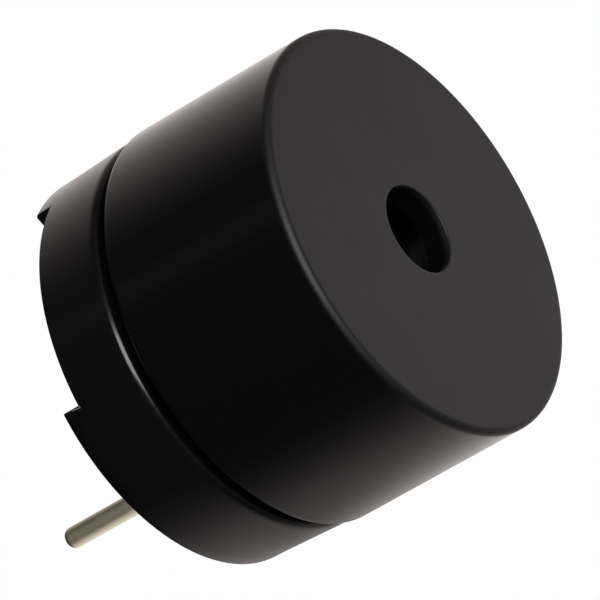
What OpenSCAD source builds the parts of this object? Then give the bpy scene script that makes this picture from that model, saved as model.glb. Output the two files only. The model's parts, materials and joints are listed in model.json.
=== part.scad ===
// Magnetic buzzer for soldering to a printed board, in millimetres.
// The origin is on the axis, at the plane that the feet stand on. +Z is towards the sound hole,
// and the pins stand on the X axis.

/* [Case] */
// Outside diameter of the case
case_d = 12; // [11.4:0.1:15]
// Height from the feet to the top face
overall_h = 9; // [8.4:0.1:12]
// Thickness of the top wall, which is the sound hole's length
top_wall = 0.8; // [0.6:0.05:1.2]
// Wall of the skirt that goes over the base
skirt_wall = 0.6; // [0.5:0.05:0.8]
// Width of the shoulder inside the case that sits on the base
case_shoulder = 0.5; // [0.4:0.05:0.8]
// Rounding of the case's top edge
top_edge_r = 0.2; // [0.1:0.05:0.6]
// Rounding of the skirt's lower edge
skirt_edge_r = 0.15; // [0.05:0.05:0.4]
// Diameter of the sound hole
sound_hole_d = 2.56; // [1.5:0.02:4]

/* [Base] */
// How far the base's rim steps in from the case's wall
rim_step = 0.1; // [0:0.02:0.3]
// How far the base's wall draws in from the rim down to the feet
rim_draft = 0.1; // [0.02:0.02:0.2]
// Straight part of the base's wall beside its upper and lower round
rim_land = 0.1; // [0.05:0.05:0.3]
// Rounding of the rim's top edge
rim_edge_r = 0.2; // [0.05:0.05:0.3]
// Width of the parting groove between the rim and the case
groove_w = 0.32; // [0.1:0.02:0.6]
// Height of the feet, which is the depth of the notches between them
foot_h = 0.6; // [0.3:0.05:0.9]
// Rounding of the feet's outer edge
foot_edge_r = 0.1; // [0.05:0.01:0.2]
// Number of notches
notch_count = 2; // [1:1:4]
// Angle that each notch takes up
notch_angle = 65; // [20:1:80]
// Direction of the first notch's middle, counted from the positive pin
notch_turn = -80.5; // [-180:0.5:180]
// Wall around the pocket in the underside
pocket_wall = 0.5; // [0.4:0.05:0.8]
// Thickness of the web between the board and the top of the rim
web_t = 0.34; // [0.25:0.01:0.6]
// Width of the ledge that carries the diaphragm
ledge_w = 0.5; // [0.3:0.05:0.8]
// Wall of the lip around the diaphragm
lip_wall = 0.4; // [0.3:0.05:0.6]
// Height of the lip over the ledge
lip_h = 0.3; // [0.2:0.05:0.5]

/* [Magnet system] */
// Thickness of the diaphragm
diaphragm_t = 0.08; // [0.05:0.01:0.15]
// Diameter of the armature disc on the diaphragm
armature_d = 3.6; // [2.4:0.1:5]
// Thickness of the armature disc
armature_t = 0.3; // [0.15:0.05:0.5]
// Gap between the pole's tip and the diaphragm
air_gap = 0.22; // [0.1:0.02:0.4]
// Gap between the magnet and the diaphragm
magnet_gap = 0.6; // [0.4:0.05:1]
// Height of the ring magnet
magnet_h = 2.2; // [1.8:0.05:2.6]
// Width of the ring magnet's section
magnet_w = 1.2; // [0.8:0.05:1.5]
// Thickness of the yoke plate
yoke_t = 0.8; // [0.5:0.05:1]
// Diameter of the pole
pole_d = 2.4; // [1.8:0.1:3]
// Diameter of the pole's shank, riveted into the yoke plate
shank_d = 1.6; // [1:0.1:1.8]
// Edge broken on the tip of the pole, the magnet and the armature disc
edge_break = 0.08; // [0.02:0.01:0.12]
// Gap between the coil and the ring magnet
coil_gap = 0.4; // [0.1:0.05:0.8]
// Height of the coil
coil_h = 2.1; // [1.5:0.1:2.3]
// Diameter of the coil's wire
wire_d = 0.1; // [0.08:0.01:0.15]

/* [Board and pins] */
// Thickness of the circuit board
board_t = 0.6; // [0.4:0.05:0.8]
// Depth of the potting under the board, at the wall
potting_t = 1.2; // [1.15:0.05:1.6]
// How far the potting's face sinks in its middle
potting_dish = 0.1; // [0.02:0.02:0.14]
// Radius of the hollow curve in which the potting climbs each pin
climb_r = 0.3; // [0.2:0.05:0.5]
// Thickness of the potting's edge at the end of that curve
climb_edge = 0.03; // [0.02:0.01:0.1]
// Distance of the pins from the pocket's wall
pin_to_wall = 1.5; // [1.2:0.05:2.3]
// Diameter of the pins
pin_d = 0.6; // [0.4:0.05:0.8]
// Length of the pins under the feet
pin_reach = 3.8; // [2.5:0.1:10]
// Rounding of the pins' tips
pin_tip_r = 0.2; // [0.05:0.01:0.2]
// How much thicker the pins' heads are, in the potting and the board
head_step = 0.1; // [0.05:0.05:0.2]
// How deep the pins' heads start in the potting, from its edge at the wall
head_depth = 0.05; // [0.05:0.01:0.2]
// How far the pins end under the board's top face
pin_inset = 0.1; // [0.05:0.05:0.3]
// Width of the solder around a pin's head
solder_w = 0.35; // [0.2:0.05:0.5]
// Height of the solder on a pin
solder_h = 0.4; // [0.25:0.05:0.6]
// How far the coil's leads stand out under the board
lead_end = 0.15; // [0.05:0.05:0.25]
// Radius of the solder drop on each lead
drop_r = 0.35; // [0.25:0.05:0.45]
// Height of the solder drop on each lead
drop_h = 0.3; // [0.28:0.02:0.5]

/* [Drive circuit] */
// Length of the transistor's body
transistor_l = 2.9; // [2.6:0.1:3.1]
// Width of the transistor's body
transistor_w = 1.3; // [1.1:0.1:1.5]
// Height of the transistor's body
transistor_h = 0.9; // [0.7:0.05:1]
// Gap between the transistor's body and the board
transistor_lift = 0.06; // [0.02:0.02:0.1]
// Place of the transistor from the axis, across the line of the pins
transistor_y = -2.5; // [-2.7:0.1:-2]
// Distance between the transistor's two legs on one side
leg_pitch = 1.9; // [1.5:0.1:2.2]
// Width of the transistor's legs
leg_w = 0.4; // [0.3:0.05:0.5]
// Thickness of the transistor's legs
leg_t = 0.12; // [0.08:0.02:0.16]
// How far the legs stand out from the transistor's body
leg_reach = 0.55; // [0.5:0.05:0.65]
// Length of the foot at the end of each leg
leg_foot = 0.3; // [0.2:0.05:0.35]
// Length of the resistor's body
resistor_l = 1.54; // [1.2:0.02:1.8]
// Width of the resistor's body
resistor_w = 0.74; // [0.6:0.02:0.9]
// Height of the resistor's body
resistor_h = 0.4; // [0.3:0.02:0.5]
// Length of the metal caps on the resistor's ends
cap_l = 0.3; // [0.2:0.05:0.4]
// Thickness of the metal caps
cap_t = 0.03; // [0.02:0.01:0.06]

/* [Fits] */
// Radial play between the skirt and the base's spigot
skirt_play = 0.05; // [0.02:0.01:0.1]
// Radial play around the diaphragm
diaphragm_play = 0.05; // [0.02:0.01:0.1]
// Radial play of the board, the yoke plate and the magnet in the base
seat_play = 0.05; // [0.02:0.01:0.1]
// Radial play of the pins' heads, the coil's leads and the pole in their holes
hole_play = 0.05; // [0.02:0.01:0.1]

/* [Hidden] */
$fn = 96;

// A cut runs this far past the face that it opens
overcut = 1;

// Radii, from the outside in
case_r = case_d / 2;
skirt_r = case_r - skirt_wall;
cavity_r = skirt_r - case_shoulder;
rim_r = case_r - rim_step;
foot_r = rim_r - rim_draft;
pocket_r = foot_r - pocket_wall;
board_r = pocket_r - seat_play;
spigot_r = skirt_r - skirt_play;
lip_r = spigot_r - lip_wall;
diaphragm_r = lip_r - diaphragm_play;
bore_r = lip_r - ledge_w;
yoke_r = bore_r - seat_play;
magnet_r = bore_r - seat_play;
coil_r = magnet_r - magnet_w - coil_gap;
pole_r = pole_d / 2;
pin_x = pocket_r - pin_to_wall;
pin_r = pin_d / 2;
head_r = pin_r + head_step;
wire_r = wire_d / 2;

// Radius of the sphere that dishes the potting's face, and the steps that draw it smoothly
dish_r = (pocket_r * pocket_r + potting_dish * potting_dish) / (2 * potting_dish);
dish_steps = 720;

// Heights, from the feet up
head_z = foot_h + head_depth;
board_z = foot_h + potting_t;
yoke_z = board_z + board_t;
rim_z = yoke_z + web_t;
skirt_z = rim_z + groove_w;
magnet_z = yoke_z + yoke_t;
ledge_z = magnet_z + magnet_h + magnet_gap;
lip_z = ledge_z + lip_h;
ceiling_z = overall_h - top_wall;

// The coil is a tapped winding, so three wire ends leave its lower face
lead_angles = [60, 90, 120];
lead_ring_r = (pole_r + coil_r) / 2;

// Bodies of the transistor and of the resistor, as length, width and height
transistor_size = [transistor_l, transistor_w, transistor_h];
resistor_size = [resistor_l, resistor_w, resistor_h];

// Straight steps in the half round of a turn of wire, which is drawn as a polygon
arc_steps = 6;

// What a rounded corner takes away, with the round's centre at the origin
module corner_waste(r) {
  difference() {
    square(r + overcut);
    circle(r);
  }
}

// What a broken edge takes away, with the sharp corner at [size, size]
module edge_waste(size) {
  polygon([[size + overcut, -overcut], [size + overcut, size + overcut], [-overcut, size + overcut]]);
}

// A round disc with its upper edge broken, from z = 0
module broken_disc(r, h) {
  rotate_extrude()
    difference() {
      square([r, h]);
      translate([r - edge_break, h - edge_break]) edge_waste(edge_break);
    }
}

// A sector of a circle that reaches past r, with its middle on the X axis
module sector(r, angle) {
  half = angle / 2;
  far = (r + overcut) / cos(half / 2);
  polygon([
    [0, 0],
    far * [cos(half), -sin(half)],
    far * [1, 0],
    far * [cos(half), sin(half)]
  ]);
}

// Puts its children at both pins
module at_pins() {
  for (side = [-1, 1]) translate([side * pin_x, 0]) children();
}

// Puts its children at the coil's leads
module at_leads() {
  for (a = lead_angles) rotate(a) translate([lead_ring_r, 0]) children();
}

// Puts its children on the underside of the board, with their own +Z pointing down
module under_board() {
  translate([0, 0, board_z]) mirror([0, 0, 1]) children();
}

// Moulded cup: the skirt goes over the base's spigot, and the shoulder inside sits on the lip
module case() {
  color([0.09, 0.09, 0.088])
    rotate_extrude()
      difference() {
        translate([0, skirt_z]) square([case_r, overall_h - skirt_z]);
        translate([case_r - top_edge_r, overall_h - top_edge_r]) corner_waste(top_edge_r);
        translate([case_r - skirt_edge_r, skirt_z + skirt_edge_r])
          mirror([0, 1]) corner_waste(skirt_edge_r);
        square([skirt_r, lip_z]);
        square([cavity_r, ceiling_z]);
        square([sound_hole_d / 2, overall_h + overcut]);
      }
}

// Section of the base: drafted rim, spigot, lip with the ledge inside, bore, and pocket in the underside
module base_section() {
  difference() {
    union() {
      difference() {
        polygon([
          [0, 0],
          [foot_r, 0],
          [foot_r, foot_edge_r + rim_land],
          [rim_r, rim_z - rim_edge_r - rim_land],
          [rim_r, rim_z],
          [0, rim_z]
        ]);
        translate([rim_r - rim_edge_r, rim_z - rim_edge_r]) corner_waste(rim_edge_r);
        translate([foot_r - foot_edge_r, foot_edge_r]) mirror([0, 1]) corner_waste(foot_edge_r);
      }
      square([spigot_r, lip_z]);
    }
    translate([0, -overcut]) square([pocket_r, yoke_z + overcut]);
    square([bore_r, lip_z + overcut]);
    translate([0, ledge_z]) square([lip_r, lip_h + overcut]);
  }
}

// Moulded lower housing, with notches that leave the feet between them
module base() {
  color([0.08, 0.08, 0.08])
    difference() {
      rotate_extrude() base_section();
      for (i = [0 : notch_count - 1])
        rotate(notch_turn + i * 360 / notch_count)
          translate([0, 0, -overcut])
            linear_extrude(foot_h + overcut) sector(rim_r, notch_angle);
    }
}

// Section of the potting: flat under the board, and sunk in the middle of its open face
module potting_section() {
  difference() {
    translate([0, foot_h]) square([pocket_r, potting_t]);
    translate([0, foot_h + potting_dish - dish_r]) circle(dish_r, $fn = dish_steps);
  }
}

// Epoxy that climbs a pin in a hollow curve, and runs into the face around it
module pin_collar() {
  collar_r = pin_r + climb_edge + climb_r;
  end_z = foot_h + potting_dish - climb_r;
  rotate_extrude()
    difference() {
      translate([0, end_z]) square([collar_r, board_z - end_z]);
      translate([collar_r, end_z]) circle(climb_r);
    }
}

// Epoxy poured around all that stands out under the board
module potting() {
  color([0.05, 0.05, 0.055])
    difference() {
      union() {
        rotate_extrude() potting_section();
        at_pins() pin_collar();
      }
      at_pins() pin();
      under_board() at_pins() pin_cone();
      under_board() at_leads() lead_drop();
      under_board() transistor_envelope();
      under_board() transistor_legs();
      under_board() resistor_envelope();
    }
}

// Round board, clamped between the base's shoulder and the potting
module circuit_board() {
  color([0.32, 0.24, 0.1])
    difference() {
      translate([0, 0, board_z]) cylinder(h = board_t, r = board_r);
      translate([0, 0, board_z - overcut]) {
        at_pins() cylinder(h = board_t + 2 * overcut, r = head_r + hole_play);
        at_leads() cylinder(h = board_t + 2 * overcut, r = wire_r + hole_play);
      }
    }
}

// Straight pin with a rounded tip, and a thicker head that is soldered into the board
module pin() {
  color([0.72, 0.7, 0.64])
    rotate_extrude() {
      difference() {
        translate([0, -pin_reach]) square([pin_r, pin_reach + head_z]);
        translate([pin_r - pin_tip_r, pin_tip_r - pin_reach]) mirror([0, 1]) corner_waste(pin_tip_r);
      }
      translate([0, head_z]) square([head_r, yoke_z - pin_inset - head_z]);
    }
}

module pin_positive() {
  translate([pin_x, 0]) pin();
}

module pin_negative() {
  translate([-pin_x, 0]) pin();
}

// Outer form of the solder around a pin's head
module pin_cone() {
  cylinder(h = solder_h, r1 = head_r + solder_w, r2 = head_r + solder_w / 4);
}

// Outer form of the solder on a lead
module lead_drop() {
  cylinder(h = drop_h, r1 = drop_r, r2 = drop_r / 2);
}

// Solder under the board: a cone around each pin and a drop on each of the coil's leads
module solder_joints() {
  color([0.7, 0.71, 0.72])
    under_board() {
      at_pins()
        difference() {
          pin_cone();
          translate([0, 0, -overcut]) cylinder(h = solder_h + 2 * overcut, r = head_r);
        }
      at_leads()
        difference() {
          lead_drop();
          translate([0, 0, -overcut]) cylinder(h = lead_end + overcut, r = wire_r);
        }
    }
}

// Transistor's body on the board's underside, with the space under it
module transistor_envelope() {
  depth = transistor_lift + transistor_h;
  translate([0, transistor_y, depth / 2]) cube([transistor_l, transistor_w, depth], center = true);
}

module transistor() {
  color([0.1, 0.1, 0.1])
    under_board()
      translate([0, transistor_y, transistor_lift + transistor_h / 2])
        cube(transistor_size, center = true);
}

// One bent leg: a foot on the board, a riser, and a shoulder that ends at the body's side, x = 0
module leg() {
  shoulder_z = transistor_lift + transistor_h / 2;
  riser_x = leg_reach - leg_foot;
  rotate([90, 0, 0])
    translate([0, 0, -leg_w / 2])
      linear_extrude(leg_w)
        polygon([
          [0, shoulder_z],
          [riser_x - leg_t, shoulder_z],
          [riser_x - leg_t, 0],
          [leg_reach, 0],
          [leg_reach, leg_t],
          [riser_x, leg_t],
          [riser_x, shoulder_z + leg_t],
          [0, shoulder_z + leg_t]
        ]);
}

// Two legs on the side that faces outwards, and one on the side that faces the axis
module transistor_legs() {
  translate([0, transistor_y]) {
    for (x = [-1, 1])
      translate([x * leg_pitch / 2, -transistor_w / 2]) rotate(-90) leg();
    translate([0, transistor_w / 2]) rotate(90) leg();
  }
}

module transistor_leads() {
  color([0.72, 0.72, 0.7]) under_board() transistor_legs();
}

// Resistor with its caps, as one block on the board
module resistor_envelope() {
  size = resistor_size + 2 * cap_t * [1, 1, 1];
  translate([0, 0, size.z / 2]) cube(size, center = true);
}

module resistor_body() {
  translate([0, 0, cap_t + resistor_h / 2]) cube(resistor_size, center = true);
}

module resistor() {
  color([0.12, 0.12, 0.13]) under_board() resistor_body();
}

// Metal caps that wrap the resistor's two ends
module resistor_terminals() {
  window_l = resistor_l + 2 * cap_t - 2 * cap_l;
  color([0.75, 0.75, 0.74])
    under_board()
      difference() {
        resistor_envelope();
        resistor_body();
        cube([window_l, resistor_w + 2 * overcut, 2 * (resistor_h + overcut)], center = true);
      }
}

// Steel plate under the coil and magnet, with holes for the pole's shank and the coil's leads
module yoke_plate() {
  color([0.6, 0.61, 0.62])
    difference() {
      translate([0, 0, yoke_z]) cylinder(h = yoke_t, r = yoke_r);
      translate([0, 0, yoke_z - overcut]) {
        cylinder(h = yoke_t + 2 * overcut, d = shank_d);
        at_leads() cylinder(h = yoke_t + 2 * overcut, r = wire_r + hole_play);
      }
    }
}

// Steel pole, riveted into the yoke plate by its thinner shank
module pole_core() {
  color([0.66, 0.66, 0.66]) {
    translate([0, 0, magnet_z]) broken_disc(pole_r, ledge_z - air_gap - magnet_z);
    translate([0, 0, yoke_z]) cylinder(h = yoke_t, d = shank_d);
  }
}

// Section of the winding: the turns of its outer layer stand out as half rounds
module winding_section() {
  turns = floor(coil_h / wire_d);
  pitch = coil_h / turns;
  ridges = [
    for (i = [0 : turns - 1], k = [0 : arc_steps])
      let (a = -90 + 180 * k / arc_steps)
        [coil_r - wire_r + wire_r * cos(a), pitch * (i + (1 + sin(a)) / 2)]
  ];
  inner_r = pole_r + hole_play;
  polygon(concat([[inner_r, 0]], ridges, [[inner_r, coil_h]]));
}

// Winding of enamelled wire around the pole, on the yoke plate
module coil() {
  color([0.66, 0.33, 0.14]) translate([0, 0, magnet_z]) rotate_extrude() winding_section();
}

// Wire ends from the coil's lower face, through the yoke plate and the board
module coil_leads() {
  color([0.66, 0.33, 0.14])
    at_leads()
      translate([0, 0, board_z - lead_end])
        cylinder(h = lead_end + board_t + yoke_t, r = wire_r);
}

// Ferrite ring on the yoke plate, around the coil
module ring_magnet() {
  color([0.2, 0.2, 0.21])
    difference() {
      translate([0, 0, magnet_z]) broken_disc(magnet_r, magnet_h);
      translate([0, 0, magnet_z - overcut]) cylinder(h = magnet_h + 2 * overcut, r = magnet_r - magnet_w);
    }
}

// Thin steel disc, held on the ledge by the magnet's pull
module diaphragm() {
  color([0.55, 0.56, 0.56])
    translate([0, 0, ledge_z]) cylinder(h = diaphragm_t, r = diaphragm_r);
}

// Small weight fixed to the middle of the diaphragm
module armature_disc() {
  color([0.45, 0.45, 0.46])
    translate([0, 0, ledge_z + diaphragm_t]) broken_disc(armature_d / 2, armature_t);
}

case();
base();
potting();
circuit_board();
pin_positive();
pin_negative();
solder_joints();
transistor();
transistor_leads();
resistor();
resistor_terminals();
yoke_plate();
pole_core();
coil();
coil_leads();
ring_magnet();
diaphragm();
armature_disc();
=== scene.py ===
# %% [markdown]
# # The looks of a magnetic buzzer
# A buzzer of this kind is a black moulded cup, 12 mm across, on a black moulded base with two pins.
# The frame that is loaded here holds its exact solids, in metres. This lesson turns, bevels and
# paints the pieces that show, and gives every hidden piece its own finish as well. Each piece takes
# its place and its main sizes from the frame, so none has to be fitted by eye.

# %% Load the frame
import json
import math

import bmesh
import bpy
from mathutils import Matrix, Vector

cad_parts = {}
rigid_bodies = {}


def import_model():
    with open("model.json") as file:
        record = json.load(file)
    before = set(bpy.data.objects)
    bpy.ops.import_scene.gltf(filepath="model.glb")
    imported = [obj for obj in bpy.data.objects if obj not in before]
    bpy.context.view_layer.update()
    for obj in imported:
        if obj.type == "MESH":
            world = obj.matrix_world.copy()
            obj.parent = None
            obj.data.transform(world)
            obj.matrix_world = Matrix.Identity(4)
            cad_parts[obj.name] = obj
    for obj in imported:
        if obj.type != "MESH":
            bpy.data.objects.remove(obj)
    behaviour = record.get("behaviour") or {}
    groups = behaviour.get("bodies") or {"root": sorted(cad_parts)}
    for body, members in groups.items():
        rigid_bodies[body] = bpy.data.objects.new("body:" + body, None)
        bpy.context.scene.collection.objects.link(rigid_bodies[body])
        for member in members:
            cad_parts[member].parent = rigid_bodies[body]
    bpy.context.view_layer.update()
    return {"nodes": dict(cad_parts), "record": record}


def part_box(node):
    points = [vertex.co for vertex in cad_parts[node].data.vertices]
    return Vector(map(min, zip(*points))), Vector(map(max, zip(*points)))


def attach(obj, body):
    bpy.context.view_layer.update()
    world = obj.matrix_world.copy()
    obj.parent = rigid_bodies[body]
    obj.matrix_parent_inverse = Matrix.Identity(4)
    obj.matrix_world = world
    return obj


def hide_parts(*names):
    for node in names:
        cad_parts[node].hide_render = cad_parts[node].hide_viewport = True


for leftover in list(bpy.data.objects):
    bpy.data.objects.remove(leftover)
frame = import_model()
scene = bpy.context.scene
MM = 0.001
mounts = {mount["name"]: mount for mount in frame["record"]["mounts"]}

# %% [markdown]
# ## The camera
# The picture was taken from well above the part's own horizon with a long lens, and then turned, so
# that the buzzer's axis leans to the right. A camera could be turned by three Euler angles, but it is
# easier to see what happens when its three axes are written down: where it looks back along, what
# is to its right, and what is up. The roll then mixes right and up.

# %% Place the camera
IMAGE_PX = 600
SENSOR_MM = 36
CAMERA_AZIMUTH = math.radians(46)
CAMERA_ELEVATION = math.radians(31.2)
CAMERA_ROLL = math.radians(60.25)
CAMERA_DISTANCE = 220 * MM
PX_PER_MM = 37.17
AIM = Vector((0, 0, 4.75)) * MM
AIM_SHIFT_UP = 0.095 * MM

towards_camera = Vector((math.sin(CAMERA_AZIMUTH), -math.cos(CAMERA_AZIMUTH), 0))
level_right = Vector((math.cos(CAMERA_AZIMUTH), math.sin(CAMERA_AZIMUTH), 0))
back = towards_camera * math.cos(CAMERA_ELEVATION) + Vector((0, 0, math.sin(CAMERA_ELEVATION)))
level_up = back.cross(level_right)
right = level_right * math.cos(CAMERA_ROLL) + level_up * math.sin(CAMERA_ROLL)
up = level_up * math.cos(CAMERA_ROLL) - level_right * math.sin(CAMERA_ROLL)

camera_data = bpy.data.cameras.new("photo_camera")
camera_data.sensor_width = SENSOR_MM
camera_data.lens = PX_PER_MM * CAMERA_DISTANCE / MM * SENSOR_MM / IMAGE_PX
camera = bpy.data.objects.new("photo_camera", camera_data)
scene.collection.objects.link(camera)
turn = Matrix((right, up, back)).transposed().to_4x4()
camera.matrix_world = Matrix.Translation(AIM - up * AIM_SHIFT_UP + back * CAMERA_DISTANCE) @ turn
scene.camera = camera
scene.view_settings.view_transform = "Standard"
print("camera lens", round(camera_data.lens, 1), "mm")

# %% [markdown]
# ## Shader maths that reads like maths
# A material is a graph of nodes, and wiring it line by line hides what it means. One small class
# fixes that: it wraps a socket, and its operators add Math nodes. Any other node comes from its
# `node` method, which sets the node's settings first and then fills its sockets. Vectors and
# colours have a method each, because a Math node works on single numbers only.

# %% The Field class


def pick(sockets, key):
    """A node's socket by its place, its identifier or its name."""
    if isinstance(key, int):
        return sockets[key]
    return next(s for s in sockets if key in (s.identifier, s.name))


class Field:
    """A value that changes over a surface: one output socket, with arithmetic."""

    def __init__(self, tree, socket=None):
        self.tree = tree
        self.socket = socket

    def node(self, kind, settings, sockets, result=0):
        """Adds a node and returns one of its outputs. A colour is written as three numbers."""
        made = self.tree.nodes.new("ShaderNode" + kind)
        for name, setting in settings.items():
            if name == "stops":
                set_stops(made.color_ramp, setting)
            else:
                setattr(made, name, setting)
        for name, value in sockets.items():
            socket = pick(made.inputs, name)
            if isinstance(value, Field):
                self.tree.links.new(value.socket, socket)
            else:
                socket.default_value = (*value, 1) if socket.type == "RGBA" else value
        return Field(self.tree, pick(made.outputs, result) if len(made.outputs) else None)

    def math(self, operation, a, b):
        """A Math node on two values."""
        return self.node("Math", {"operation": operation}, {"Value": a, "Value_001": b})

    def along(self, axis):
        """How far this vector reaches along an axis."""
        sockets = {"Vector": self, "Vector_001": axis}
        return self.node("VectorMath", {"operation": "DOT_PRODUCT"}, sockets, "Value")

    def blend(self, low, high):
        """A colour that goes from low to high as this value goes from 0 to 1."""
        sockets = {"Factor_Float": self, "A_Color": low, "B_Color": high}
        return self.node("Mix", {"data_type": "RGBA"}, sockets, "Result_Color")

    def __add__(self, other):
        return self.math("ADD", self, other)

    def __sub__(self, other):
        return self.math("SUBTRACT", self, other)

    def __rsub__(self, other):
        return self.math("SUBTRACT", other, self)

    def __mul__(self, other):
        return self.math("MULTIPLY", self, other)

    def __truediv__(self, other):
        return self.math("DIVIDE", self, other)

    __radd__ = __add__
    __rmul__ = __mul__


def set_stops(ramp, stops):
    """Gives a colour ramp its stops, as pairs of place and grey level."""
    while len(ramp.elements) > 1:
        ramp.elements.remove(ramp.elements[-1])
    for i, (place, grey) in enumerate(stops):
        stop = ramp.elements.new(place) if i else ramp.elements[0]
        stop.position = place
        stop.color = (grey, grey, grey, 1)


def rise(field, low, high):
    """A smooth step from 0 at low to 1 at high."""
    limits = {"Value": field, "From Min": low, "From Max": high, "To Min": 0.0, "To Max": 1.0}
    return field.node("MapRange", {"interpolation_type": "SMOOTHSTEP"}, limits)


print("shader class ready:", Field.__doc__)

# %% [markdown]
# ## The room
# Black gloss plastic has hardly any colour of its own: what shows on its wall is the room. The wall's
# middle mirrors the dim side of the room around the camera, and its sides mirror what stands further
# round. A picture of a studio could light the scene, but a formula shows why each part of the wall is
# light or dark: the room is written by the angle from the camera's line, dim in front and paler
# behind. The line leans a little to the left, because the right side was brighter.

# %% Write the room's levels by angle
HALF_TURN = 180
ROOM = ((0, 0.04), (90, 0.045), (100, 0.12), (107, 0.18), (118, 0.28), (HALF_TURN, 0.3))
ROOM_LEAN = 0.07

world = bpy.data.worlds.new("studio")
scene.world = world
world.use_nodes = True
world.node_tree.nodes.clear()
studio = Field(world.node_tree)
direction = studio.node("TexCoord", {}, {}, "Generated")
line = (back - level_right * ROOM_LEAN).normalized()
off_line = studio.node("Math", {"operation": "ARCCOSINE"}, {"Value": direction.along(line)})
stops = [(degrees / HALF_TURN, grey) for degrees, grey in ROOM]
room = studio.node("ValToRGB", {"stops": stops}, {"Fac": off_line / math.pi})
print("room has", len(ROOM), "levels from front to back")

# %% [markdown]
# ## Backdrop, ceiling and shade
# Behind the part hangs a white backdrop. Only gloss sees it, so it doesn't brighten the black itself.
# The ceiling is a little pale, the ground is in shade, and one faint streak of light falls on the left
# of the wall. The camera itself sees plain white everywhere, and so does a ray that has gone through
# something clear. A brighter room could turn the background white as well, but it would wash out
# the black.

# %% Finish the world
BACKDROP_FROM = math.radians(100)
BACKDROP_TO = math.radians(168)
STREAK_AZIMUTH = math.radians(-47)
STREAK_HALF = math.radians(11)
STREAK_LEVEL = 0.06
CEILING_FROM = 0.5
CEILING_TO = 0.9
CEILING_LEVEL = 0.1
SHADE_FROM = -0.62
SHADE_TO = -0.75
SHADE_LEVEL = 0.1
WARM_WHITE = (1, 0.93, 0.9)
WHITE = (1, 1, 1)
DARK = (0, 0, 0)


def ray(kind):
    """1 for rays of this kind, 0 for others."""
    return studio.node("LightPath", {}, {}, f"Is {kind} Ray")


bearing = studio.math("ARCTAN2", direction.along(level_right), direction.along(towards_camera))
off_streak = studio.node("Math", {"operation": "ABSOLUTE"}, {"Value": bearing - STREAK_AZIMUTH})
streak = (1 - rise(off_streak, 0.0, STREAK_HALF)) * STREAK_LEVEL
backdrop = rise(off_line, BACKDROP_FROM, BACKDROP_TO) * ray("Glossy")
upwards = direction.along((0, 0, 1))
ceiling = rise(upwards, CEILING_FROM, CEILING_TO) * CEILING_LEVEL
shade = SHADE_LEVEL + (1 - SHADE_LEVEL) * rise(upwards, SHADE_TO, SHADE_FROM)
level = (room + streak + ceiling + backdrop * (1 - room)) * shade
plain = ray("Camera") + ray("Transmission")
sky = plain.blend(level.blend(DARK, WARM_WHITE), WHITE)
light = studio.node("Background", {}, {"Color": sky, "Strength": 1.0})
studio.node("OutputWorld", {}, {"Surface": light})
print("world uses", len(world.node_tree.nodes), "nodes")

# %% [markdown]
# ## The lights
# A large softbox at the upper left, in front, draws the soft glint on the round edges of the case and
# of the base's rim. Its place follows from the glint: the edge's normal there halves the angle between
# the camera and the light. A weak one behind the part lifts the top face, most on its far side. The
# base keeps the pins in the dark, so they get two cards of their own from below: a dim one in front and
# a brighter one on the right. A lamp of this kind shows a quarter of its power, spread over
# its face, so its power follows from how bright it should look.

# %% Add the lights
SHOWN_POWER = 0.25


def softbox(name, azimuth, elevation, distance, width, height, brightness):
    """A lamp that faces the part: degrees from the camera's side and the horizon, and millimetres."""
    data = bpy.data.lights.new(name, "AREA")
    data.shape = "RECTANGLE"
    data.size = width * MM
    data.size_y = height * MM
    data.energy = brightness * data.size * data.size_y / SHOWN_POWER
    lamp = bpy.data.objects.new(name, data)
    scene.collection.objects.link(lamp)
    around = math.radians(azimuth)
    flat = towards_camera * math.cos(around) + level_right * math.sin(around)
    climb = math.radians(elevation)
    line_out = flat * math.cos(climb) + Vector((0, 0, math.sin(climb)))
    facing = line_out.to_track_quat("Z", "Y").to_matrix().to_4x4()
    lamp.matrix_world = Matrix.Translation(AIM + line_out * distance * MM) @ facing
    print(name, "power", round(data.energy, 4), "W")
    return lamp


softbox("key_softbox", azimuth=-20, elevation=48, distance=150, width=60, height=170, brightness=5.5)
softbox("back_softbox", azimuth=172, elevation=34, distance=30, width=18, height=18, brightness=0.3)
cards = [
    softbox("bright_card", azimuth=95, elevation=-31, distance=30, width=50, height=24, brightness=0.6),
    softbox("dim_card", azimuth=-10, elevation=-31, distance=30, width=64, height=24, brightness=0.21),
]

# %% [markdown]
# ## The floor and the shade flag
# The part is pictured on plain white, in the air. The floor is a pale disc well under it, which catches
# its soft shadow and fades out before it comes into the picture. Seen from below it would hide the
# pins, so the back of its faces lets every ray through, and the gloss of the part mirrors the room, not
# the disc. The shade flag is the opposite: a dark sheet just under the pins, on the right and behind,
# that nothing shows but the gloss. It is painted shade, a painted dark reflection: it takes the white
# backdrop away from the lower half of the wall on that side. A darker backdrop couldn't do that: the
# world is endlessly far away, so it shows alike at every height of the wall.

# %% Make the floor and the shade flag
FLOOR_DROP = 30 * MM
FLOOR_R = 32 * MM
FLOOR_FADE = 14 * MM
FLOOR_COLOUR = (0.86, 0.86, 0.86)
FLAG_DROP = 4.5 * MM
FLAG_R = 28 * MM
FLAG_FADE = 12 * MM
FLAG_SIDE = 6 * MM
FLAG_FRONT = 3 * MM
FLAG_BACK = 7 * MM
FLAG_DENSITY = 0.6
SHEET_STEPS = 96


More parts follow.
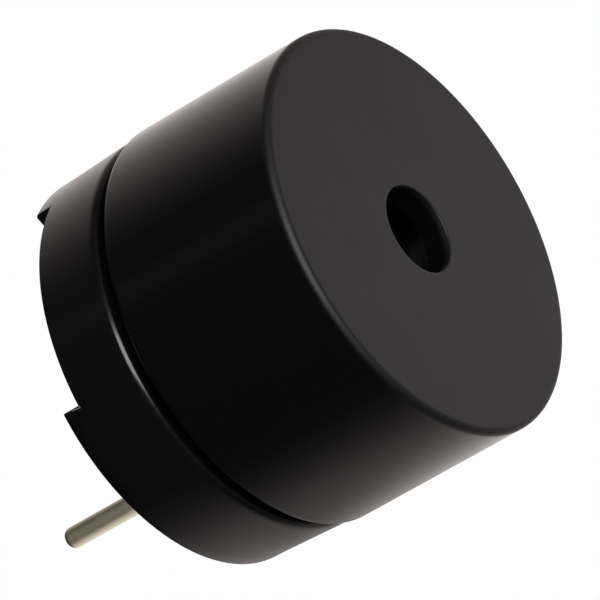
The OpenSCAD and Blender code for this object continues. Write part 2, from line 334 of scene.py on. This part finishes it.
class Sheet(Field):
    """A round sheet under the part, which is painted where its cover says and clear elsewhere."""

    def __init__(self, name, radius, drop):
        bm = bmesh.new()
        bmesh.ops.create_circle(bm, cap_ends=True, radius=radius, segments=SHEET_STEPS)
        bmesh.ops.translate(bm, verts=bm.verts, vec=(0, 0, -drop))
        mesh = bpy.data.meshes.new(name)
        bm.to_mesh(mesh)
        bm.free()
        paint = bpy.data.materials.new(name + "_paint")
        paint.use_nodes = True
        paint.node_tree.nodes.clear()
        mesh.materials.append(paint)
        super().__init__(paint.node_tree)
        self.piece = bpy.data.objects.new(name, mesh)
        scene.collection.objects.link(self.piece)
        self.place = self.node("TexCoord", {}, {}, "Object")
        flat = {"Vector": self.place, "Vector_001": (1, 1, 0)}
        level_place = self.node("VectorMath", {"operation": "MULTIPLY"}, flat)
        length = {"operation": "LENGTH"}
        self.from_middle = self.node("VectorMath", length, {"Vector": level_place}, "Value")

    def cover(self, amount, colour):
        """Ends the paint: matt colour by this amount, clear for the rest."""
        clear = self.node("BsdfTransparent", {}, {"Color": WHITE})
        matt = self.node("BsdfDiffuse", {}, {"Color": colour})
        blended = self.node("MixShader", {}, {"Fac": amount, "Shader": clear, "Shader_001": matt})
        self.node("OutputMaterial", {}, {"Surface": blended})
        print(self.piece.name, "painted with", len(self.tree.nodes), "nodes")


floor = Sheet("floor", FLOOR_R, FLOOR_DROP)
floor.piece.visible_glossy = False
facing_back = floor.node("NewGeometry", {}, {}, "Backfacing")
floor.cover((1 - rise(floor.from_middle, FLOOR_FADE, FLOOR_R)) * (1 - facing_back), FLOOR_COLOUR)

# The shade flag paints shade into the wall's reflection only: the camera, diffuse light and shadows pass it
# by.
shade_flag = Sheet("shade_flag", FLAG_R, FLAG_DROP)
shade_flag.piece.visible_camera = False
shade_flag.piece.visible_diffuse = False
shade_flag.piece.visible_shadow = False
on_right = rise(shade_flag.place.along(level_right), 0.0, FLAG_SIDE)
behind = rise(shade_flag.place.along(-towards_camera), -FLAG_FRONT, FLAG_BACK)
shade_flag.cover((1 - rise(shade_flag.from_middle, FLAG_FADE, FLAG_R)) * on_right * behind * FLAG_DENSITY, DARK)

# %% [markdown]
# ## Turning a profile
# Most of this part is round, so most of it is made the way a lathe would: half of its section is drawn
# as a few corners, and `spin` turns them through a full circle. The editor's Screw modifier could do
# the same, but an operator on a bmesh leaves real edges behind, which the next operator can bevel.

# %% Lathe helpers
NEAR = 0.002 * MM
MERGE = NEAR / 10
SHARP_ANGLE = math.radians(35)
turned = {}


def turn_profile(corners, steps, start=0.0, closed=True):
    """Spins the corners, as pairs of radius and height, round the Z axis from an angle."""
    bm = bmesh.new()
    first = Matrix.Rotation(start, 4, "Z")
    dots = [bm.verts.new(first @ Vector((r, 0, z))) for r, z in corners]
    ends = dots[1:] + dots[:1] if closed else dots[1:]
    lines = [bm.edges.new(pair) for pair in zip(dots, ends)]
    bmesh.ops.spin(
        bm, geom=dots + lines, cent=(0, 0, 0), axis=(0, 0, 1), dvec=(0, 0, 0),
        angle=math.tau, steps=steps, use_merge=True, use_duplicate=False,
    )
    bmesh.ops.remove_doubles(bm, verts=bm.verts, dist=MERGE)
    bmesh.ops.recalc_face_normals(bm, faces=bm.faces)
    return bm


def ring_edges(bm, radius, height):
    """The corner edges on the circle with this radius and height."""
    def on_ring(v):
        return abs(v.co.xy.length - radius) < NEAR and abs(v.co.z - height) < NEAR
    ring = [e for e in bm.edges if on_ring(e.verts[0]) and on_ring(e.verts[1])]
    return [e for e in ring if e.calc_face_angle(0) > SHARP_ANGLE]


def round_edges(bm, edges, radius, segments):
    """Rounds edges with a bevel."""
    bmesh.ops.bevel(
        bm, geom=edges, offset=radius, offset_type="OFFSET", affect="EDGES",
        segments=segments, profile=0.5, material=-1, clamp_overlap=True,
    )


def make_piece(bm, name, node):
    """Puts a finished bmesh in the scene in place of a node of the frame, and notes it as turned."""
    open_edges = sum(len(e.link_faces) != 2 for e in bm.edges)
    mesh = bpy.data.meshes.new(name)
    bm.to_mesh(mesh)
    bm.free()
    mesh.shade_smooth()
    mesh.set_sharp_from_angle(angle=SHARP_ANGLE)
    piece = bpy.data.objects.new(name, mesh)
    scene.collection.objects.link(piece)
    evened = piece.modifiers.new("even_normals", "WEIGHTED_NORMAL")
    evened.keep_sharp = True
    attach(piece, "root")
    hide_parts(node)
    turned[node] = piece
    print(name, "has", len(mesh.polygons), "faces and", open_edges, "open edges")


print("lathe ready, corners count as sharp from", round(math.degrees(SHARP_ANGLE)), "degrees")

# %% [markdown]
# ## The case
# The case is a cup, moulded upside down, with a plain round sound hole in its top. Its section has
# eight corners: outside wall, top, hole, and the step inside that sits on the base. Four more points
# hold the wall and the top flat up to their rounds, or smooth shading would bend them all over. The
# top edge is rounded over 0.2 mm, which is what catches the glint, and the skirt's lower edge rolls in
# over the groove. The rounds could be drawn in the section, but a bevel takes one line each.

# %% Turn the case
CASE_STEPS = 240
ROUND_STEPS = 8
FINE_ROUND_STEPS = 3
SKIRT_WALL = 0.6 * MM
CASE_SHOULDER = 0.5 * MM
TOP_EDGE_R = 0.2 * MM
SKIRT_EDGE_R = 0.15 * MM
HOLE_EDGE_R = 0.04 * MM
HOLD = 0.05 * MM

case_low, case_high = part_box("case")
base_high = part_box("base")[1]
CASE_R = case_high.x
TOP_Z = case_high.z
SKIRT_Z = case_low.z
LIP_Z = base_high.z
HOLE_R = mounts["sound_port"]["dims"]["r_mm"] * MM
CEILING_Z = TOP_Z - mounts["sound_port"]["dims"]["length_mm"] * MM
SKIRT_R = CASE_R - SKIRT_WALL
CAVITY_R = SKIRT_R - CASE_SHOULDER

case_bm = turn_profile([
    (CASE_R, SKIRT_Z), (CASE_R, SKIRT_Z + SKIRT_EDGE_R + HOLD),
    (CASE_R, TOP_Z - TOP_EDGE_R - HOLD), (CASE_R, TOP_Z), (CASE_R - TOP_EDGE_R - HOLD, TOP_Z),
    (HOLE_R + HOLE_EDGE_R + HOLD, TOP_Z), (HOLE_R, TOP_Z), (HOLE_R, CEILING_Z),
    (CAVITY_R, CEILING_Z), (CAVITY_R, LIP_Z), (SKIRT_R, LIP_Z), (SKIRT_R, SKIRT_Z),
], CASE_STEPS)
round_edges(case_bm, ring_edges(case_bm, CASE_R, TOP_Z), TOP_EDGE_R, ROUND_STEPS)
round_edges(case_bm, ring_edges(case_bm, CASE_R, SKIRT_Z), SKIRT_EDGE_R, ROUND_STEPS)
round_edges(case_bm, ring_edges(case_bm, HOLE_R, TOP_Z), HOLE_EDGE_R, FINE_ROUND_STEPS)
make_piece(case_bm, "case_shell", "case")

# %% [markdown]
# ## The base
# The base is the lower half of the housing. Its rim lies almost flush under the case, with a dark
# groove between, and its wall draws in a little towards the feet, so that it leaves its mould. Inside
# are the ledge for the diaphragm, the bore and the pocket. It is turned like the case, down to the
# height where the feet begin. A narrow band of faces there keeps the bevels that come later from
# bending the light on the tall wall above.

# %% Turn the base
BASE_STEPS = 360
NOTCH_TURN = math.radians(-80.5)
NOTCH_ANGLE = math.radians(65)
FOOT_H = 0.6 * MM
BAND_H = 0.06 * MM
WEB = 0.34 * MM
SKIRT_PLAY = 0.05 * MM
SEAT_PLAY = 0.05 * MM
LIP_WALL = 0.4 * MM
RIM_EDGE_R = 0.2 * MM
RIM_DRAFT = 0.1 * MM
RIM_LAND = 0.1 * MM
FOOT_EDGE_R = 0.1 * MM

RIM_R = base_high.x
POCKET_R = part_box("potting")[1].x
YOKE_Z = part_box("yoke_plate")[0].z
RIM_Z = YOKE_Z + WEB
BAND_Z = FOOT_H + BAND_H
SPIGOT_R = SKIRT_R - SKIRT_PLAY
LIP_R = SPIGOT_R - LIP_WALL
LEDGE_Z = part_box("diaphragm")[0].z
BORE_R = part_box("yoke_plate")[1].x + SEAT_PLAY
FOOT_R = RIM_R - RIM_DRAFT
DRAFT_LOW_Z = FOOT_EDGE_R + RIM_LAND
DRAFT_HIGH_Z = RIM_Z - RIM_EDGE_R - RIM_LAND


def wall_r(z):
    """Radius of the drafted wall at a height."""
    return FOOT_R + RIM_DRAFT * (z - DRAFT_LOW_Z) / (DRAFT_HIGH_Z - DRAFT_LOW_Z)


base_bm = turn_profile([
    (wall_r(FOOT_H), FOOT_H), (wall_r(BAND_Z), BAND_Z), (RIM_R, DRAFT_HIGH_Z), (RIM_R, RIM_Z),
    (SPIGOT_R, RIM_Z), (SPIGOT_R, LIP_Z), (LIP_R, LIP_Z), (LIP_R, LEDGE_Z), (BORE_R, LEDGE_Z),
    (BORE_R, YOKE_Z), (POCKET_R, YOKE_Z), (POCKET_R, BAND_Z), (POCKET_R, FOOT_H),
], BASE_STEPS, NOTCH_TURN + NOTCH_ANGLE / 2)
print("base turned,", len(base_bm.faces), "faces, rim at", round(RIM_Z / MM, 2), "mm")

# %% [markdown]
# ## The feet
# Two notches in the lower edge of the base leave two long feet to stand on. The notches could be cut
# with a Boolean, but the turned ring already has faces where the feet go: with 1 degree a step, the
# notches end on a step, and the feet are those faces pulled down and drawn in with the wall.

# %% Pull the feet down
NOTCH_COUNT = 2
FOOT_STEPS = 4
NOTCH_EDGE_R = 0.04 * MM
FACING = 0.99


def from_notch(face):
    """Angle from a face to the middle of the nearest notch."""
    middle = face.calc_center_median()
    pitch = math.tau / NOTCH_COUNT
    off_turn = math.atan2(middle.y, middle.x) - NOTCH_TURN
    return abs((off_turn + pitch / 2) % pitch - pitch / 2)


def is_under(face):
    """True for a face of the ring's flat underside."""
    return face.normal.z < -FACING and abs(face.calc_center_median().z - FOOT_H) < NEAR


def ends_foot(face):
    """True for the flat face at the end of a foot, which looks along the rim."""
    middle = face.calc_center_median()
    outwards = Vector((middle.x, middle.y, 0)).normalized()
    sideways = outwards.cross(Vector((0, 0, 1)))
    return middle.z < FOOT_H and abs(face.normal.dot(sideways)) > FACING


def on_outside(edge):
    """True for an edge that isn't on the pocket's wall or under the web."""
    middle = (edge.verts[0].co + edge.verts[1].co) / 2
    return middle.xy.length > POCKET_R + NEAR and middle.z < FOOT_H - NEAR


soles = [f for f in base_bm.faces if is_under(f) and from_notch(f) > NOTCH_ANGLE / 2]
pulled = bmesh.ops.extrude_face_region(base_bm, geom=soles)["geom"]
foot_verts = [item for item in pulled if isinstance(item, bmesh.types.BMVert)]
bmesh.ops.translate(base_bm, verts=foot_verts, vec=(0, 0, -FOOT_H))
draw_in = FOOT_R / wall_r(FOOT_H)
outer_verts = [v for v in foot_verts if v.co.xy.length > POCKET_R + NEAR]
bmesh.ops.scale(base_bm, verts=outer_verts, vec=(draw_in, draw_in, 1))
base_bm.normal_update()

round_edges(base_bm, ring_edges(base_bm, RIM_R, RIM_Z), RIM_EDGE_R, ROUND_STEPS)
round_edges(base_bm, ring_edges(base_bm, FOOT_R, 0), FOOT_EDGE_R, FOOT_STEPS)
base_bm.normal_update()
end_edges = {e for f in base_bm.faces if ends_foot(f) for e in f.edges if on_outside(e)}
round_edges(base_bm, list(end_edges), NOTCH_EDGE_R, FINE_ROUND_STEPS)
print(len(soles), "faces pulled down into feet,", len(end_edges), "edges at their ends")
make_piece(base_bm, "base_housing", "base")

# %% [markdown]
# ## The pins
# The two pins are drawn wire with a rounded tip. Inside the epoxy each has a thicker head, which is
# soldered into the board. A pin could be two cylinders, but turning makes head, wire and tip one closed
# shape. Its profile starts and ends on the axis and stays open: a closed one would spin an edge
# on the axis into faces without area. Light linking then gives the two cards to the pins alone,
# because on the black plastic they would draw bright lines.

# %% Turn the pins and link their lights
PIN_STEPS = 64
TIP_STEPS = 6
PIN_TIP_R = 0.2 * MM
HEAD_RISE = 0.05 * MM
HEAD_Z = FOOT_H + HEAD_RISE
PIN_R = mounts["solder_pins"]["dims"]["stud_r_mm"] * MM


def turn_pin(node):
    """A pin, turned on the axis and then moved to its node's place."""
    low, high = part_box(node)
    head_r = (high.x - low.x) / 2
    profile = [(0, low.z), (PIN_R, low.z), (PIN_R, HEAD_Z), (head_r, HEAD_Z), (head_r, high.z), (0, high.z)]
    pin_bm = turn_profile(profile, PIN_STEPS, closed=False)
    round_edges(pin_bm, ring_edges(pin_bm, PIN_R, low.z), PIN_TIP_R, TIP_STEPS)
    bmesh.ops.translate(pin_bm, verts=pin_bm.verts, vec=((low.x + high.x) / 2, 0, 0))
    make_piece(pin_bm, node + "_wire", node)


lit_by_cards = bpy.data.collections.new("lit_by_cards")
for node in ("pin_positive", "pin_negative"):
    turn_pin(node)
    lit_by_cards.objects.link(turned[node])
for card in cards:
    card.light_linking.receiver_collection = lit_by_cards

# %% [markdown]
# ## Helpers for the finishes
# All finishes read Object coordinates, which are metres in the part's own frame, so a grain of 0.1 mm
# is a noise of scale 1 / 0.1 mm. Relief is written in metres too, and one Bump node turns it
# into a normal: then a depth of 2 micrometres is just that. Pictures could be wrapped round the
# pieces instead, but noise has no seams and no pixels.

# %% Finish helpers
MICRON = 0.001 * MM
finishes = {}


class Finish(Field):
    """A new material for a slot, with its place in the frame at hand."""

    def __init__(self, slot):
        self.slot = slot
        self.material = bpy.data.materials.new(slot)
        self.material.use_nodes = True
        self.material.node_tree.nodes.clear()
        super().__init__(self.material.node_tree)
        self.place = self.node("TexCoord", {}, {}, "Object")
        self.height = self.node("SeparateXYZ", {}, {"Vector": self.place}, "Z")

    def noise(self, size, detail=2.0, stretch=(1, 1, 1)):
        """Noise with grains of about this size, drawn out by dividing its place by stretch."""
        squeezed = {"Vector": self.place, "Vector_001": stretch}
        place = self.node("VectorMath", {"operation": "DIVIDE"}, squeezed)
        return self.node("TexNoise", {}, {"Vector": place, "Scale": 1 / size, "Detail": detail})

    def cells(self, size):
        """Distance to the middle of scattered cells of about this size, from 0 to about 1."""
        return self.node("TexVoronoi", {}, {"Vector": self.place, "Scale": 1 / size}, "Distance")

    def surface(self, relief, sockets):
        """Ends the material with a shader, its relief in metres, and keeps it for its slot."""
        normal = self.node("Bump", {}, {"Height": relief, "Distance": 1.0, "Strength": 1.0})
        shader = self.node("BsdfPrincipled", {}, {"Normal": normal, **sockets})
        self.node("OutputMaterial", {}, {"Surface": shader})
        finishes[self.slot] = self.material
        print("finish", self.slot, "uses", len(self.tree.nodes), "nodes")


print("finish class ready:", Finish.__doc__)

# %% [markdown]
# ## Black moulded plastic
# Case and base are the same black plastic out of different moulds. The case's wall copies a polished
# cavity, with faint lines along its draw, while its top copies an eroded one: a fine grain that spreads
# the white backdrop into an even dark grey. The grain fades over the lower half of the round edge and
# ends just under it, so one finish can tell the two apart by height alone.

# %% Finishes of the case and the base
BLACK = (0.003, 0.0026, 0.0027)
GREY_BLACK = (0.0068, 0.0062, 0.006)
GRAIN_FULL = 0.5 * TOP_EDGE_R
GRAIN_END = 1.5 * TOP_EDGE_R


def case_plastic():
    finish = Finish("case_plastic")
    top = rise(finish.height, TOP_Z - GRAIN_END, TOP_Z - GRAIN_FULL)
    wall = 1 - top
    grain = finish.noise(0.07 * MM, detail=3.0)
    cloud = finish.noise(2.2 * MM)
    lines = finish.noise(0.16 * MM, stretch=(1, 1, 60))
    rubbed = finish.noise(0.9 * MM, detail=5.0)
    relief = grain * top * (5 * MICRON) + lines * wall * (0.12 * MICRON)
    roughness = top * (0.46 + 0.1 * cloud) + wall * (0.13 + 0.07 * rubbed)
    colour = (cloud * top).blend(BLACK, GREY_BLACK)
    finish.surface(relief, {"Base Color": colour, "Roughness": roughness})


def base_plastic():
    finish = Finish("base_plastic")
    grain = finish.noise(0.05 * MM)
    lines = finish.noise(0.2 * MM, stretch=(1, 1, 40))
    cloud = finish.noise(1.6 * MM, detail=4.0)
    relief = grain * (0.2 * MICRON) + lines * (0.15 * MICRON)
    colour = cloud.blend(BLACK, GREY_BLACK)
    finish.surface(relief, {"Base Color": colour, "Roughness": 0.17 + 0.1 * cloud})


case_plastic()
base_plastic()

# %% [markdown]
# ## Tinned metal and solder
# The pins, the transistor's legs and the resistor's ends are tinned, and tin is a warm, slightly dull
# mirror. Drawn wire keeps fine lines along its length, so the noise of the pins is stretched along Z.
# Solder froze in place: it has soft crystals instead of lines, and Voronoi cells give those.

# %% Finishes of the pins, the leads and the solder
TIN = (0.7, 0.64, 0.5)
DULL_TIN = (0.52, 0.47, 0.345)
SOLDER_LIGHT = (0.62, 0.63, 0.64)
SOLDER_DARK = (0.48, 0.49, 0.5)


def tinned_pin():
    finish = Finish("tinned_pin")
    drawn = finish.noise(0.05 * MM, stretch=(1, 1, 50))
    patch = finish.noise(0.5 * MM, detail=4.0)
    relief = drawn * (0.8 * MICRON) + patch * (1.5 * MICRON)
    colour = patch.blend(DULL_TIN, TIN)
    roughness = 0.36 + 0.12 * patch
    finish.surface(relief, {"Base Color": colour, "Metallic": 1.0, "Roughness": roughness})


def tinned_lead():
    finish = Finish("tinned_lead")
    patch = finish.noise(0.25 * MM, detail=3.0)
    colour = patch.blend(SOLDER_DARK, SOLDER_LIGHT)
    roughness = 0.25 + 0.15 * patch
    finish.surface(patch * (1.0 * MICRON), {"Base Color": colour, "Metallic": 1.0, "Roughness": roughness})


def solder():
    finish = Finish("solder")
    crystal = finish.cells(0.12 * MM)
    flow = finish.noise(0.4 * MM)
    relief = crystal * (2 * MICRON) + flow * (8 * MICRON)
    colour = crystal.blend(SOLDER_LIGHT, SOLDER_DARK)
    roughness = 0.2 + 0.25 * crystal
    finish.surface(relief, {"Base Color": colour, "Metallic": 1.0, "Roughness": roughness})


tinned_pin()
tinned_lead()
solder()

# %% [markdown]
# ## The epoxy and the board
# The underside is closed with black epoxy, poured in and left to settle, so it is glossy, gently wavy
# and has a few small pits where bubbles broke. The pits could be modelled, but they are so shallow
# that relief in the finish shows them as well. The epoxy covers a board of brown paper laminate.

# %% Finishes of the epoxy and the board
EPOXY = (0.004, 0.004, 0.0045)
EPOXY_BLOOM = (0.008, 0.008, 0.0085)
PIT_FLOOR = 0.05
PIT_RIM = 0.14
PAPER_DARK = (0.15, 0.085, 0.025)
PAPER_LIGHT = (0.3, 0.19, 0.07)
FIBRE_SHARE = 0.6


def epoxy():
    finish = Finish("epoxy")
    wave = finish.noise(2.4 * MM)
    bloom = finish.noise(0.8 * MM, detail=4.0)
    pit = 1 - rise(finish.cells(1.1 * MM), PIT_FLOOR, PIT_RIM)
    relief = wave * (30 * MICRON) + bloom * (1.2 * MICRON) - pit * (25 * MICRON)
    colour = bloom.blend(EPOXY, EPOXY_BLOOM)
    finish.surface(relief, {"Base Color": colour, "Roughness": 0.12 + 0.16 * bloom})


def board_laminate():
    finish = Finish("board_laminate")
    fibre = finish.noise(0.12 * MM, detail=4.0, stretch=(5, 1, 1))
    mottle = finish.noise(0.9 * MM, detail=3.0)
    colour = (FIBRE_SHARE * fibre + (1 - FIBRE_SHARE) * mottle).blend(PAPER_DARK, PAPER_LIGHT)
    finish.surface(fibre * (6 * MICRON), {"Base Color": colour, "Roughness": 0.5 + 0.2 * fibre})


epoxy()
board_laminate()

# %% [markdown]
# ## The drive circuit
# On the board's underside sit a moulded chip and a resistor, which is a white ceramic body with a black
# glass coat on its outer face. The coat could be a piece of its own, but it is only a skin: the height
# in the frame tells where the glass ends and the ceramic begins.

# %% Finishes of the chip and the resistor
CHIP_DARK = (0.012, 0.012, 0.012)
CHIP_LIGHT = (0.028, 0.028, 0.028)
GLASS_BLACK = (0.012, 0.012, 0.014)
ALUMINA = (0.72, 0.71, 0.68)
GLASS_COAT = 0.05 * MM
GLASS_EDGE = 0.01 * MM


def chip_body():
    finish = Finish("chip_body")
    grain = finish.noise(0.04 * MM, detail=3.0)
    colour = grain.blend(CHIP_DARK, CHIP_LIGHT)
    finish.surface(grain * (4 * MICRON), {"Base Color": colour, "Roughness": 0.5 + 0.2 * grain})


def resistor_body():
    finish = Finish("resistor_body")
    glass_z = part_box("resistor")[0].z + GLASS_COAT
    ceramic = rise(finish.height, glass_z, glass_z + GLASS_EDGE)
    grain = finish.noise(0.03 * MM)
    colour = ceramic.blend(GLASS_BLACK, ALUMINA)
    roughness = 0.15 + 0.4 * ceramic + 0.1 * grain
    finish.surface(grain * ceramic * (2 * MICRON), {"Base Color": colour, "Roughness": roughness})


chip_body()
resistor_body()

# %% [markdown]
# ## The magnet system
# Under the diaphragm sit a steel yoke with its pole, a coil of enamelled wire and a ring of ferrite.
# The steel is zinc plated, with the patches that zinc has. The wire is copper under a clear amber coat,
# so it takes the shader's coat instead of a second layer. Ferrite is a dull dark ceramic.

# %% Finishes of the yoke, the coil and the magnet
ZINC_LIGHT = (0.56, 0.57, 0.58)
ZINC_DARK = (0.42, 0.43, 0.45)
COPPER = (0.62, 0.24, 0.09)
AMBER = (0.4, 0.13, 0.04)
FERRITE_DARK = (0.022, 0.022, 0.024)
FERRITE_LIGHT = (0.06, 0.06, 0.063)


def plated_steel():
    finish = Finish("plated_steel")
    spangle = finish.cells(0.5 * MM)
    fine = finish.noise(0.06 * MM, detail=3.0)
    colour = spangle.blend(ZINC_LIGHT, ZINC_DARK)
    roughness = 0.28 + 0.15 * spangle + 0.08 * fine
    finish.surface(fine * (1.0 * MICRON), {"Base Color": colour, "Metallic": 1.0, "Roughness": roughness})


def enamelled_copper():
    finish = Finish("enamelled_copper")
    tint = finish.noise(0.6 * MM, detail=3.0)
    beads = finish.noise(0.05 * MM)
    colour = tint.blend(AMBER, COPPER)
    sockets = {"Base Color": colour, "Metallic": 0.9, "Roughness": 0.25 + 0.15 * tint, "Coat Weight": 0.8}
    finish.surface(beads * (1.5 * MICRON), sockets)


def ferrite():
    finish = Finish("ferrite")
    speckle = finish.noise(0.05 * MM, detail=4.0)
    ground = finish.noise(0.08 * MM, stretch=(12, 1, 1))
    relief = speckle * (3 * MICRON) + ground * (2 * MICRON)
    colour = speckle.blend(FERRITE_DARK, FERRITE_LIGHT)
    finish.surface(relief, {"Base Color": colour, "Roughness": 0.45 + 0.2 * speckle})


plated_steel()
enamelled_copper()
ferrite()

# %% [markdown]
# ## The diaphragm and its armature
# The diaphragm is rolled spring steel, with lines one way, and its armature is a stamped disc of iron,
# which shows through the sound hole. An anisotropic shader could give the rolled look, but stretched
# noise also changes its colour a little, as real strip has it.

# %% Finishes of the diaphragm and the armature
SPRING_DARK = (0.33, 0.335, 0.34)
SPRING_LIGHT = (0.46, 0.47, 0.47)
IRON_DARK = (0.22, 0.22, 0.225)
IRON_LIGHT = (0.38, 0.38, 0.385)


def spring_steel():
    finish = Finish("spring_steel")
    rolled = finish.noise(0.05 * MM, detail=3.0, stretch=(40, 1, 1))
    colour = rolled.blend(SPRING_DARK, SPRING_LIGHT)
    roughness = 0.25 + 0.15 * rolled
    finish.surface(rolled * (0.8 * MICRON), {"Base Color": colour, "Metallic": 1.0, "Roughness": roughness})


def soft_iron():
    finish = Finish("soft_iron")
    mottle = finish.noise(0.3 * MM, detail=5.0)
    grain = finish.noise(0.04 * MM)
    colour = mottle.blend(IRON_DARK, IRON_LIGHT)
    roughness = 0.4 + 0.2 * mottle
    finish.surface(grain * (2 * MICRON), {"Base Color": colour, "Metallic": 1.0, "Roughness": roughness})


spring_steel()
soft_iron()

# %% [markdown]
# ## Dressing the pieces
# Every node that wasn't turned above keeps its exact solid. Each piece could be given its finish by
# hand, but the record in the frame says which material slot each node has, so one loop dresses them all.

# %% Give each piece its finish
for subpart in frame["record"]["subparts"]:
    piece = turned.get(subpart["node"], frame["nodes"][subpart["node"]])
    piece.data.materials.clear()
    piece.data.materials.append(finishes[subpart["material_slot"]])

# %% [markdown]
